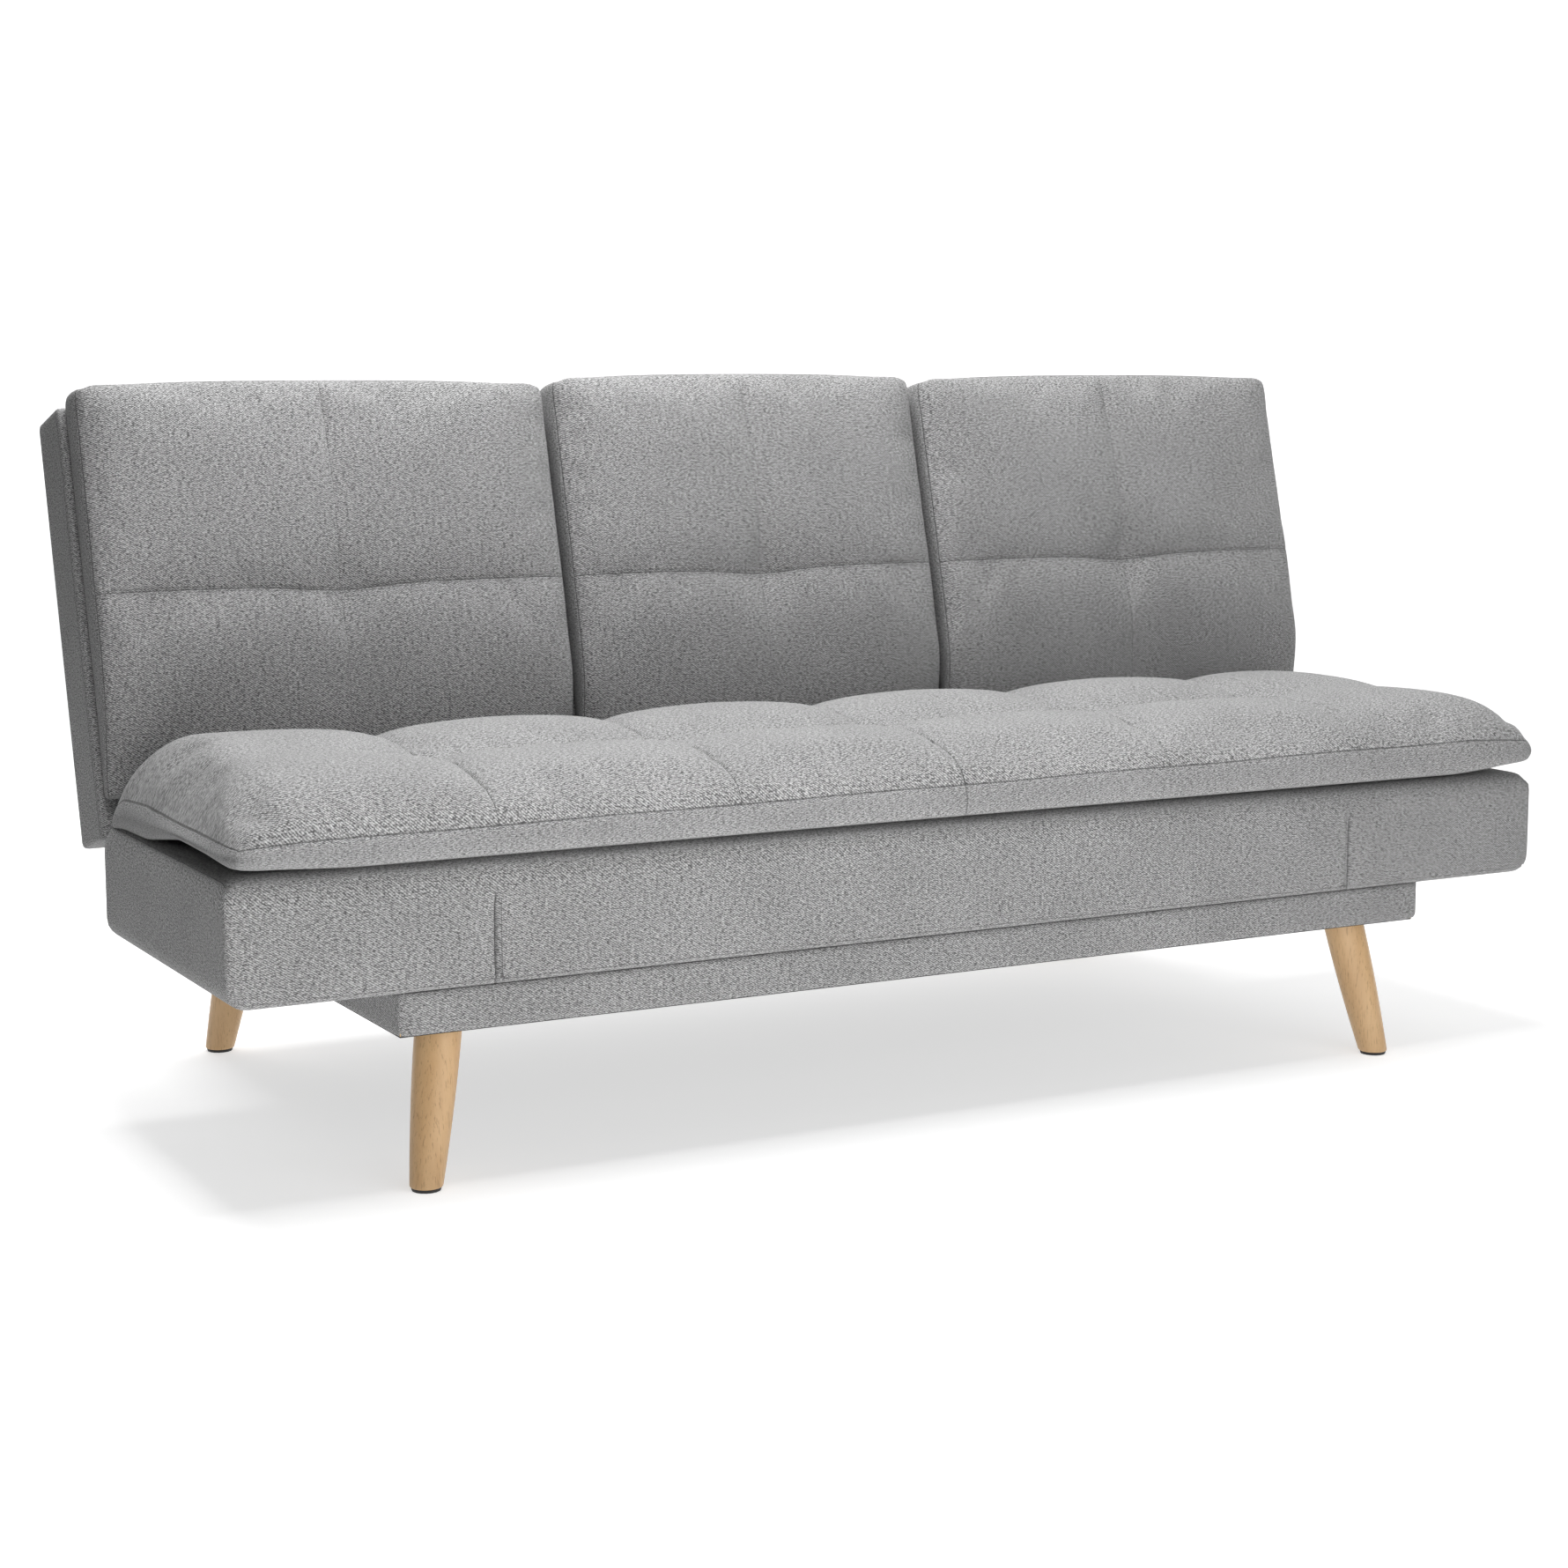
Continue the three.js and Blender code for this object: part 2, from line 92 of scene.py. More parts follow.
# ---- materials ---------------------------------------------------------------------------------
class Nodes:
    """A short way to build a material's node tree."""

    def __init__(self, name):
        self.material = bpy.data.materials.new(name)
        self.material.use_nodes = True
        self.tree = self.material.node_tree
        self.shader = self.tree.nodes["Principled BSDF"]

    def add(self, kind, **settings):
        node = self.tree.nodes.new("ShaderNode" + kind)
        for key, value in settings.items():
            setattr(node, key, value)
        return node

    def link(self, source, target):
        self.tree.links.new(source, target)

    def feed(self, socket, value):
        if isinstance(value, bpy.types.NodeSocket):
            self.link(value, socket)
        else:
            socket.default_value = value

    def math(self, operation, a, b=0.0, c=0.0, clamp=False):
        node = self.add("Math", operation=operation, use_clamp=clamp)
        for socket, value in zip(node.inputs, (a, b, c)):
            self.feed(socket, value)
        return node.outputs[0]

    def span(self, value, low, high, to_low=0.0, to_high=1.0):
        """The value with low..high carried to to_low..to_high, and clamped there."""
        node = self.add("MapRange")
        for socket, item in zip(node.inputs, (value, low, high, to_low, to_high)):
            self.feed(socket, item)
        return node.outputs[0]

    def noise(self, vector, scale, detail=2.0, roughness=0.5, stretch=None):
        if stretch is not None:
            mapping = self.add("Mapping")
            self.link(vector, mapping.inputs["Vector"])
            mapping.inputs["Scale"].default_value = stretch
            vector = mapping.outputs[0]
        node = self.add("TexNoise")
        self.link(vector, node.inputs["Vector"])
        node.inputs["Scale"].default_value = scale
        node.inputs["Detail"].default_value = detail
        node.inputs["Roughness"].default_value = roughness
        return node.outputs["Fac"]

    def mix(self, factor, a, b):
        node = self.add("Mix", data_type="RGBA")
        self.feed(node.inputs[0], factor)
        self.feed(node.inputs[6], a)
        self.feed(node.inputs[7], b)
        return node.outputs[2]

    def bump(self, height, strength, distance):
        node = self.add("Bump")
        self.link(height, node.inputs["Height"])
        node.inputs["Strength"].default_value = strength
        node.inputs["Distance"].default_value = distance
        return node.outputs[0]

    def surface(self, color, roughness, normal=None, metallic=0.0):
        self.feed(self.shader.inputs["Base Color"], color)
        self.feed(self.shader.inputs["Roughness"], roughness)
        self.shader.inputs["Metallic"].default_value = metallic
        if normal is not None:
            self.link(normal, self.shader.inputs["Normal"])


def grey(value):
    """A neutral colour from its linear brightness."""
    return (value, value, value, 1.0)


PATTERN = "pattern"  # the attribute that holds each point's place before it was shaped
SEAM_REACH = 20 * MM  # seams are known to this distance
WEAVE = "weave"  # the UV map that holds each panel's place on the cloth, in metres


def heather_twill(name, light, dark):
    """A soft twill of light and dark melange yarns: fine diagonal ribs with dark flecks and slubs,
    with a fine dark line and a row of stitches where a piece says that it is sewn."""
    m = Nodes(name)
    cloth = m.add("UVMap", uv_map=WEAVE).outputs[0]
    drift = m.noise(cloth, 60.0, 2.0)
    split = m.add("SeparateXYZ")
    m.link(cloth, split.inputs[0])
    u, v = split.outputs[0], split.outputs[1]
    # twill ribs: a stripe across the diagonal, wandering a little with the yarn
    pitch = 2.7 * MM
    across = m.math("MULTIPLY_ADD", u, 0.66, v)
    across = m.math("MULTIPLY_ADD", drift, 1.1 * MM, across)
    phase = m.math("MULTIPLY", across, 2 * math.pi / pitch)
    rib = m.math("MULTIPLY_ADD", m.math("SINE", phase), 0.5, 0.5)
    # each yarn float is its own shade
    yarn = m.noise(cloth, 900.0, 1.0, 0.6, stretch=(0.6, 1.0, 1.0))
    fleck = m.noise(cloth, 640.0, 2.0, 0.65, stretch=(0.5, 1.15, 1.0))
    slub = m.noise(cloth, 520.0, 1.0, 0.5, stretch=(0.3, 1.3, 1.0))
    cloud = m.noise(cloth, 7.0, 3.0, 0.55)
    patch = m.noise(cloth, 420.0, 2.0, 0.7, stretch=(0.45, 1.3, 1.0))
    shade = m.math("MULTIPLY_ADD", m.span(fleck, 0.41, 0.59), 0.6, m.math("MULTIPLY", yarn, 0.4))
    shade = m.math("MULTIPLY", shade, m.math("MULTIPLY_ADD", rib, 1.0, 0.38))
    shade = m.math("ADD", shade, m.span(patch, 0.32, 0.68, -0.32, 0.32))
    dark_slub = m.span(slub, 0.60, 0.68)
    shade = m.math("SUBTRACT", shade, m.math("MULTIPLY", dark_slub, 0.5), clamp=True)
    tone = m.mix(shade, grey(dark), grey(light))
    # seams: a dark line where two panels meet, and dashes of thread beside a topstitched one
    seam = m.add("Attribute", attribute_name="seam").outputs["Fac"]
    top = m.add("Attribute", attribute_name="topstitch").outputs["Fac"]
    line = m.span(seam, 1 - 1.1 * MM / SEAM_REACH, 1 - 0.4 * MM / SEAM_REACH)
    join = m.span(top, 1 - 1.0 * MM / SEAM_REACH, 1 - 0.4 * MM / SEAM_REACH)
    row = m.math("ABSOLUTE", m.math("SUBTRACT", top, 1 - 3.2 * MM / SEAM_REACH))
    row = m.span(row, 0.7 * MM / SEAM_REACH, 0.3 * MM / SEAM_REACH)
    dash = m.math("SINE", m.math("MULTIPLY", m.math("ADD", u, v), 2 * math.pi / (5 * MM)))
    row = m.math("MULTIPLY", row, m.span(dash, -0.7, -0.4))
    sewn = m.math("MAXIMUM", line, m.math("MULTIPLY", join, 0.75))
    sewn = m.math("MAXIMUM", sewn, m.math("MULTIPLY", row, 0.62))
    tone = m.mix(m.math("MULTIPLY", sewn, 0.66), tone, grey(dark * 0.5))
    lighter = m.span(cloud, 0.35, 0.65, 0.95, 1.05)
    scale = m.add("VectorMath", operation="SCALE")
    m.link(tone, scale.inputs[0])
    m.link(lighter, scale.inputs[3])
    relief = m.math("MULTIPLY_ADD", m.math("MULTIPLY", rib, yarn), 0.9, m.math("MULTIPLY", fleck, 0.5))
    relief = m.math("MULTIPLY_ADD", sewn, -1.2, relief)
    m.surface(scale.outputs[0], m.span(fleck, 0.3, 0.7, 0.88, 1.0), m.bump(relief, 0.8, 0.6 * MM))
    m.shader.inputs["Sheen Weight"].default_value = 0.15
    m.shader.inputs["Sheen Roughness"].default_value = 0.5
    m.shader.inputs["Specular IOR Level"].default_value = 0.18
    return m.material


def wood(name, pale, deep, grain_scale, along, roughness, fleck_depth):
    """Timber: growth bands and fine pores drawn out along one axis of the sofa's frame."""
    m = Nodes(name)
    place = m.add("TexCoord").outputs["Object"]
    stretch = [9.0, 9.0, 9.0]
    stretch[along] = 0.7
    bands = m.noise(place, grain_scale, 3.0, 0.6, stretch=tuple(stretch))
    pores = m.noise(place, grain_scale * 9, 2.0, 0.7, stretch=tuple(stretch))
    broad = m.noise(place, 4.0, 2.0, 0.5)
    mixed = m.math("MULTIPLY_ADD", m.span(bands, 0.3, 0.7), 0.6, m.math("MULTIPLY", broad, 0.4))
    tone = m.mix(mixed, deep, pale)
    flecks = m.math("MULTIPLY", m.span(pores, 0.56, 0.72), fleck_depth)
    tone = m.mix(flecks, tone, (deep[0] * 0.45, deep[1] * 0.38, deep[2] * 0.3, 1.0))
    m.surface(tone, m.span(pores, 0.3, 0.7, roughness - 0.06, roughness + 0.08),
              m.bump(pores, 0.25, 0.15 * MM))
    return m.material


def steel(name):
    """Dark phosphated hinge steel with faint rolling marks."""
    m = Nodes(name)
    place = m.add("TexCoord").outputs["Object"]
    mottle = m.noise(place, 60.0, 3.0)
    marks = m.noise(place, 300.0, 2.0, 0.6, stretch=(0.2, 1.0, 1.0))
    tone = m.mix(mottle, grey(0.16), grey(0.26))
    m.surface(tone, m.span(marks, 0.3, 0.7, 0.32, 0.5), m.bump(marks, 0.15, 0.1 * MM), metallic=1.0)
    return m.material


def plastic(name):
    """Black moulded glides with a fine spark texture."""
    m = Nodes(name)
    place = m.add("TexCoord").outputs["Object"]
    grain = m.noise(place, 900.0, 2.0)
    m.surface(m.mix(grain, grey(0.012), grey(0.022)), m.span(grain, 0.3, 0.7, 0.5, 0.62),
              m.bump(grain, 0.2, 0.05 * MM))
    return m.material


def felt(name, light, dark, scale, roughness):
    """Bonded fibres or open foam cells, with no direction."""
    m = Nodes(name)
    place = m.add("TexCoord").outputs["Object"]
    fibres = m.noise(place, scale, 4.0, 0.7)
    patches = m.noise(place, scale / 30, 2.0)
    mixed = m.math("MULTIPLY_ADD", fibres, 0.7, m.math("MULTIPLY", patches, 0.3))
    m.surface(m.mix(mixed, dark, light), roughness, m.bump(fibres, 0.4, 0.4 * MM))
    return m.material


CLOTH = heather_twill("heather_twill", 0.52, 0.085)
BEECH = wood("beech_lacquer", (0.70, 0.47, 0.25, 1.0), (0.56, 0.34, 0.16, 1.0), 7.0, 2, 0.38, 0.55)
PINE = wood("pine_rails", (0.72, 0.53, 0.30, 1.0), (0.52, 0.33, 0.15, 1.0), 4.0, 0, 0.6, 0.2)
PLYWOOD = wood("birch_plywood", (0.62, 0.44, 0.26, 1.0), (0.46, 0.29, 0.15, 1.0), 6.0, 0, 0.62, 0.35)
STEEL = steel("hinge_steel")
PLASTIC = plastic("glide_plastic")
FOAM = felt("seat_foam", (0.78, 0.72, 0.56, 1.0), (0.60, 0.53, 0.38, 1.0), 500.0, 0.9)
DUST_CLOTH = felt("dust_cloth", grey(0.03), grey(0.012), 700.0, 0.95)

# the first key found in a node's name gives its material
FINISHES = (
    ("_rail", PINE), ("_stretcher", PINE), ("_carcass", PLYWOOD), ("_foam", FOAM),
    ("wing_hinge", STEEL), ("recline_", STEEL), ("glide", PLASTIC), ("dust_cover", DUST_CLOTH),
    ("leg_", BEECH), ("", CLOTH),
)


def finish_cad_nodes():
    """Gives every CAD node a material."""
    for name, node in frame["nodes"].items():
        finish = next(material for key, material in FINISHES if key in name)
        node.data.materials.clear()
        node.data.materials.append(finish)


# ---- meshes --------------------------------------------------------------------------------------
def stops(low, high, step, tight=(), offsets=(2 * MM, 5 * MM)):
    """Grid lines from low to high about a step apart, closer together beside each tight line."""
    fixed = sorted({low, high, *(t + s * o for t in tight for o in (0, *offsets) for s in (-1, 1))})
    fixed = [value for value in fixed if low <= value <= high]
    lines = [fixed[0]]
    for a, b in zip(fixed, fixed[1:]):
        count = max(1, round((b - a) / step))
        lines += [a + (b - a) * k / count for k in range(1, count + 1)]
    return np.array(lines)


class Lattice:
    """The skin of a box, cut along the given grid lines, with each side's place on the cloth."""

    def __init__(self, xs, ys, zs):
        """flat: the points. quads: four points each. uvs: their places on the cloth. sides: 2 * axis,
        and 1 more at the high end of the axis."""
        shape = (len(xs), len(ys), len(zs))
        at = np.indices(shape)
        edge = np.zeros(shape, bool)
        for axis, count in enumerate(shape):
            edge |= (at[axis] == 0) | (at[axis] == count - 1)
        ids = np.full(shape, -1)
        ids[edge] = np.arange(edge.sum())
        i, j, k = (a[edge] for a in at)
        self.flat = np.stack([xs[i], ys[j], zs[k]], 1)
        quads, uvs, sides = [], [], []
        for axis in range(3):
            across = [a for a in range(3) if a != axis]
            for end in (0, -1):
                face = np.take(ids, end, axis)
                ring = [face[:-1, :-1], face[1:, :-1], face[1:, 1:], face[:-1, 1:]]
                outward = (end == -1) != (axis == 1)
                if not outward:
                    ring.reverse()
                quad = np.stack(ring, -1).reshape(-1, 4)
                quads.append(quad)
                uvs.append(self.flat[quad][:, :, across])
                sides.append(np.full(len(quad), 2 * axis + (end == -1)))
        self.quads = np.concatenate(quads)
        self.uvs = np.concatenate(uvs)
        self.sides = np.concatenate(sides)

    def mesh(self, name, points, keep=None):
        """A mesh object of the lattice at new points, without the quads that keep leaves out."""
        quads = self.quads if keep is None else self.quads[keep]
        uvs = self.uvs if keep is None else self.uvs[keep]
        return quad_mesh(name, points, quads, uvs, self.flat)


def quad_mesh(name, points, quads, uvs, flat):
    """A mesh object of quads, with its weave and with each point's flat place."""
    used, quads = np.unique(quads, return_inverse=True)
    quads = quads.reshape(-1, 4)
    mesh = bpy.data.meshes.new(name)
    mesh.from_pydata(np.asarray(points)[used].tolist(), [], quads.tolist())
    layer = mesh.uv_layers.new(name=WEAVE)
    layer.data.foreach_set("uv", np.asarray(uvs, np.float32).ravel())
    pattern = mesh.attributes.new(PATTERN, "FLOAT_VECTOR", "POINT")
    pattern.data.foreach_set("vector", np.asarray(flat, np.float32)[used].ravel())
    mesh.polygons.foreach_set("use_smooth", np.ones(len(mesh.polygons), bool))
    mesh.update()
    piece = bpy.data.objects.new(name, mesh)
    bpy.context.scene.collection.objects.link(piece)
    return piece


def mark_seams(piece, seams, topstitched=None):
    """Writes how close each point is to a seam. Both arguments give distances from flat points."""
    mesh = piece.data
    flat = np.empty(len(mesh.vertices) * 3, np.float32)
    mesh.attributes[PATTERN].data.foreach_get("vector", flat)
    mesh.attributes.remove(mesh.attributes[PATTERN])
    flat = flat.reshape(-1, 3).astype(float)
    for name, distance in (("seam", seams), ("topstitch", topstitched)):
        if distance is not None:
            closeness = np.clip(1 - distance(flat) / SEAM_REACH, 0, 1).astype(np.float32)
            mesh.attributes.new(name, "FLOAT", "POINT").data.foreach_set("value", closeness)


def positions(piece):
    out = np.empty(len(piece.data.vertices) * 3)
    piece.data.vertices.foreach_get("co", out)
    return out.reshape(-1, 3)


def set_positions(piece, points):
    piece.data.vertices.foreach_set("co", np.asarray(points, np.float32).ravel())
    piece.data.update()


def subdivide(piece):
    """Smooths a piece with one applied subdivision."""
    step = piece.modifiers.new("smooth", "SUBSURF")
    step.levels = step.render_levels = 1
    graph = bpy.context.evaluated_depsgraph_get()
    graph.update()
    final = bpy.data.meshes.new_from_object(piece.evaluated_get(graph), depsgraph=graph)
    old = piece.data
    piece.modifiers.clear()
    piece.data = final
    bpy.data.meshes.remove(old)


def dress(piece, material):
    """Gives a piece its material."""
    piece.data.materials.clear()
    piece.data.materials.append(material)


# ---- cloth ---------------------------------------------------------------------------------------
SIM_FRAMES = 20


def inflate(piece, pinned, cap, pressure, ease):
    """Blows a sewn cover up between its pinned seams, lets it pucker, and caps how far it moves.
    A negative ease is spare cloth, as a share of its length."""
    start = positions(piece)
    group = piece.vertex_groups.new(name="sewn")
    for weight in np.unique(pinned[pinned > 0]):
        group.add(np.flatnonzero(pinned == weight).tolist(), float(weight), "REPLACE")
    cloth = piece.modifiers.new("cloth", "CLOTH")
    settings = cloth.settings
    settings.quality = 6
    settings.mass = 0.35
    settings.air_damping = 2.0
    settings.tension_stiffness = settings.compression_stiffness = 30.0
    settings.shear_stiffness = 12.0
    settings.bending_stiffness = 2.0
    settings.vertex_group_mass = "sewn"
    settings.pin_stiffness = 1.0
    settings.shrink_min = ease
    settings.use_pressure = True
    settings.uniform_pressure_force = pressure
    settings.effector_weights.gravity = 0.0
    cloth.collision_settings.use_collision = False
    cloth.point_cache.frame_start = 1
    cloth.point_cache.frame_end = SIM_FRAMES
    for frame_number in range(1, SIM_FRAMES + 1):
        bpy.context.scene.frame_set(frame_number)
    graph = bpy.context.evaluated_depsgraph_get()
    moved = np.empty(len(piece.data.vertices) * 3)
    piece.evaluated_get(graph).data.vertices.foreach_get("co", moved)
    piece.modifiers.clear()
    piece.vertex_groups.clear()
    bpy.context.scene.frame_set(1)
    travel = moved.reshape(-1, 3) - start
    length = np.linalg.norm(travel, axis=1, keepdims=True)
    soft = cap * np.tanh(length / cap) / np.maximum(length, 1e-9)
    set_positions(piece, start + travel * soft)


def smoothstep(value):
    """0 below 0, 1 above 1, and a smooth ramp between."""
    t = np.clip(value, 0.0, 1.0)
    return t * t * (3 - 2 * t)


def rounded_rect(a, b, half_a, half_b, radius):
    """Pulls points of a rectangle in at its corners, so that they follow a radius."""
    corner_a, corner_b = half_a - radius, half_b - radius
    over_a = np.maximum(np.abs(a) - corner_a, 0)
    over_b = np.maximum(np.abs(b) - corner_b, 0)
    reach = np.maximum(over_a, over_b)
    length = np.hypot(over_a, over_b)
    scale = np.where(length > 1e-9, reach / np.maximum(length, 1e-9), 1.0)
    new_a = np.where(over_a > 0, np.sign(a) * (corner_a + over_a * scale), a)
    new_b = np.where(over_b > 0, np.sign(b) * (corner_b + over_b * scale), b)
    return new_a, new_b


# ---- the pillow-top pad ----------------------------------------------------------------------------
PAD_COLUMNS = 6
PAD_BAND = 60 * MM  # cloth in the band round the edge
PAD_STEP = 9 * MM  # between grid lines
PAD_HEIGHT = 101 * MM  # the top above the platform, before the cells swell
PAD_CORNER = 28 * MM  # radius of its corners seen from above


class PadPlan:
    """Where the pad's edges and quilting seams are."""

    half_x = pad_end - 3 * MM
    half_y = (pad_high.y - pad_low.y) / 2
    middle_y = (pad_high.y + pad_low.y) / 2
    row_y = middle_y - 12 * MM
    column = 2 * half_x / PAD_COLUMNS
    x_seams = np.linspace(-half_x, half_x, PAD_COLUMNS + 1)[1:-1]
    platform = pad_low.z
    # heights above the platform along an end, from the front corner to the rear one
    along_end = (0.0, 0.2, 0.42, 0.68, 0.88, 1.0)
    end_under = tuple(v * MM for v in (19, 24, 26, 6, 4, -11))
    end_seam = tuple(v * MM for v in (41, 39, 38, 41, 36, 15))
    bare_end = column - 1 * MM  # the cross row stops at the last tufts


def pad_half(name, side):
    """Half of the quilted pad, from the middle seam to one end, made as a piece of its own."""
    low, high = (0.0, PadPlan.half_x) if side > 0 else (-PadPlan.half_x, 0.0)
    seams = [s for s in PadPlan.x_seams if low <= s <= high]
    xs = stops(low, high, PAD_STEP, seams)
    ys = stops(pad_low.y, pad_high.y, PAD_STEP, (PadPlan.row_y,))
    skin = Lattice(xs, ys, np.linspace(0, PAD_BAND, 6))
    points, pins, groove = pad_shape(skin.flat)
    piece = skin.mesh(f"pillow_top_{name}", points)
    inflate(piece, pins, 6 * MM, pressure=2.6, ease=-0.03)
    points = positions(piece)
    points[:, 2] -= groove
    points[:, 0] = np.clip(points[:, 0], low - 5 * MM * (side < 0), high + 5 * MM * (side > 0))
    set_positions(piece, points)
    subdivide(piece)
    mark_seams(piece, pad_seams)
    dress(piece, CLOTH)
    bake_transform(piece)
    return piece


def pad_seams(flat):
    """How far each point of the flat pad is from a seam."""
    plan = PadPlan
    x, y, z = flat.T
    to_edge = np.minimum(plan.half_x - np.abs(x), plan.half_y - np.abs(y - plan.middle_y))
    on_top = z > PAD_BAND - 1e-5
    # each panel edge shows as one line: from the top it is the distance in, on the band down
    distance = np.where(on_top, to_edge, np.where(to_edge < 1e-5, PAD_BAND - z, 1.0))
    columns = np.abs(x[:, None] - plan.x_seams[None, :]).min(1)
    row = np.where(plan.half_x - np.abs(x) > plan.bare_end, np.abs(y - plan.row_y), 1.0)
    quilting = np.minimum(columns, row) + 0.3 * MM  # finer than the seams of the band
    distance = np.where(on_top, np.minimum(distance, quilting), distance)
    return np.where(to_edge < 1e-5, np.minimum(distance, z), distance)


def pad_shape(flat):
    """The stuffed shape that the cloth starts from, which points are sewn down, and the grooves."""
    plan = PadPlan
    x, y, w = flat[:, 0], flat[:, 1], flat[:, 2] / PAD_BAND
    px, py = rounded_rect(x, y - plan.middle_y, plan.half_x, plan.half_y, PAD_CORNER)
    from_end, from_side = plan.half_x - np.abs(x), plan.half_y - np.abs(y - plan.middle_y)
    inward = np.minimum(from_end, from_side)
    back = np.clip((py / plan.half_y + 1) / 2, 0, 1)  # 0 at the front edge, 1 at the rear
    # the sewn edge and the edge underneath: level along the front, following a curve at the ends
    near_end = smoothstep(1 - from_end / (150 * MM))
    to_right = (px / plan.half_x + 1) / 2
    seam = plan.platform + 43 * MM + 10 * MM * to_right
    under = plan.platform + 14 * MM - 5 * MM * to_right
    end_seam = plan.platform + np.interp(back, plan.along_end, plan.end_seam)
    end_under = plan.platform + np.interp(back, plan.along_end, plan.end_under)
    end_seam += 4 * MM * to_right * (1 - back)
    seam += (end_seam - seam) * near_end
    under += (end_under - under) * near_end
    seam += 1.5 * MM * np.sin(px * 19.0 + 1.0) * np.sin(py * 11.0)
    below = plan.platform + 1 * MM + raised(px)
    below = below + (under - below) * smoothstep(1 - inward / (60 * MM))
    # the top rises from the sewn edge in a full curve, which is longer at the right end's rear
    behind = smoothstep((py + plan.half_y) / (260 * MM))
    reach = np.where(x > 0, 60 * MM + 250 * MM * behind, 80 * MM)
    rise_x = np.sqrt(1 - np.clip(1 - from_end / reach, 0, 1) ** 2)
    rise_y = np.sqrt(1 - np.clip(1 - from_side / (165 * MM), 0, 1) ** 2)
    level = plan.platform + PAD_HEIGHT + 4 * MM * back
    top = seam + (level - seam) * rise_x * rise_y
    # stuffed cells between the quilting seams, and a valley along the cross row
    to_seam = np.abs(x[:, None] - plan.x_seams[None, :]).min(1)
    to_row = np.abs(y - plan.row_y)
    in_row = smoothstep((plan.half_x - np.abs(x) - plan.bare_end / 2) / (170 * MM))
    settle = smoothstep(inward / (75 * MM))
    crown_x = 1 - np.exp(-to_seam / (55 * MM))
    crown_y = 1 - np.exp(-to_row / (48 * MM)) * in_row
    full = 8 * MM + 7 * MM * smoothstep((y - plan.row_y) / (110 * MM) + 0.4)
    sunk = 9.5 * MM * (1 - crown_y) + 1 * MM * (1 - crown_x)
    top += settle * (full * crown_x * crown_y - sunk)
    # tufts pull the crossings down
    knot = np.exp(-(to_seam ** 2 + to_row ** 2) / (58 * MM) ** 2)
    top -= 3 * MM * knot * smoothstep((from_end - 100 * MM) / (150 * MM))
    z = np.where(w >= 1, top, np.where(w <= 0, below, under + (seam - under) * w))
    band = (w > 0) & (w < 1)
    swell = np.where(band, np.sin(np.pi * w) * 5 * MM, 0.0)
    px = px + np.sign(px) * swell * (from_end < 1 * MM) * (np.abs(x) > plan.half_x / 2)
    py = py + np.sign(py) * swell * (from_side < 1 * MM)
    points = np.stack([px, py + plan.middle_y, z], 1)
    # sewn lines
    on_column = (to_seam < 0.5 * MM) & (w >= 1)
    on_row = (to_row < 0.5 * MM) & (w >= 1) & (plan.half_x - np.abs(x) > plan.bare_end)
    pins = (on_column | on_row | (w < 1) | (inward < 1 * MM)).astype(float)
    groove = np.where(on_column | on_row, 2.2 * MM * settle, 0.0)
    return points, pins, groove


# ---- covers on the platform and the base -------------------------------------------------------------
SOFT_EDGE = 22 * MM  # how round the platform's upper front and end edges are
REAR_EDGE = 34 * MM  # the upper rear edge
END_EDGE, END_HEM = 18 * MM, 24 * MM  # at the wings' outer ends
HEM_EDGE = 7 * MM  # the lower edges
GUSSET = 30 * MM  # above the fold axis the cover gives way over this much on each side
COVER_STEP = 9 * MM  # between grid lines
SEAM_IN = 6 * MM  # a panel seam runs this far from a corner
SLIT_SKIN = 0.4 * MM  # the cloth on the frames beside a slit
SLIT_DEEP = 5 * MM  # how far back the turned corners at a slit reach


def round_edges(points, low, high, radii):
    """Rounds a box's edges. radii gives the radius for a pair of sides, such as ("y-", "z+")."""
    axes = {"x": 0, "y": 1, "z": 2}
    out = points.copy()
    for (one, two), radius in radii.items():
        a, b = axes[one[0]], axes[two[0]]
        in_a = points[:, a] - low[a] if one[1] == "-" else high[a] - points[:, a]
        in_b = points[:, b] - low[b] if two[1] == "-" else high[b] - points[:, b]
        near = (in_a < radius) & (in_b < radius)
        over_a, over_b = (radius - in_a) * near, (radius - in_b) * near
        reach, length = np.maximum(over_a, over_b), np.maximum(np.hypot(over_a, over_b), 1e-9)
        shrink = 1 - reach / length
        out[:, a] += over_a * shrink * (1 if one[1] == "-" else -1)
        out[:, b] += over_b * shrink * (1 if two[1] == "-" else -1)
    return out


def wander(points, amplitude, wave=0.11):
    """A slow, repeatable unevenness, like cloth over foam."""
    x, y, z = points.T * (2 * math.pi / wave)
    return amplitude * (np.sin(0.9 * x + 0.4 * z) * np.sin(1.1 * z + 0.5 * y + 1.3)
                        + 0.5 * np.sin(2.3 * x - 1.7 * y + 0.7) * np.sin(1.9 * z + 0.2))


PLATFORM_LOW = Vector((wing_low.x, seat_low.y, seat_low.z))
PLATFORM_HIGH = Vector((-wing_low.x, seat_high.y, seat_high.z))


def raised(x):
    """How far the foam swells the platform's top up; most at the left end."""
    return 5.5 * MM - 4.5 * MM * x / PLATFORM_HIGH.x


def platform_grid(low_x, high_x):
    """The grid lines of the platform between two places along it."""
    xs = stops(low_x, high_x, COVER_STEP)
    ys = stops(seat_low.y, seat_high.y, COVER_STEP, (seat_low.y, seat_high.y), (SLIT_DEEP,))
    zs = stops(seat_low.z, seat_high.z, COVER_STEP, (seat_low.z, seat_high.z, fold_z), (SEAM_IN,))
    return xs, ys, zs


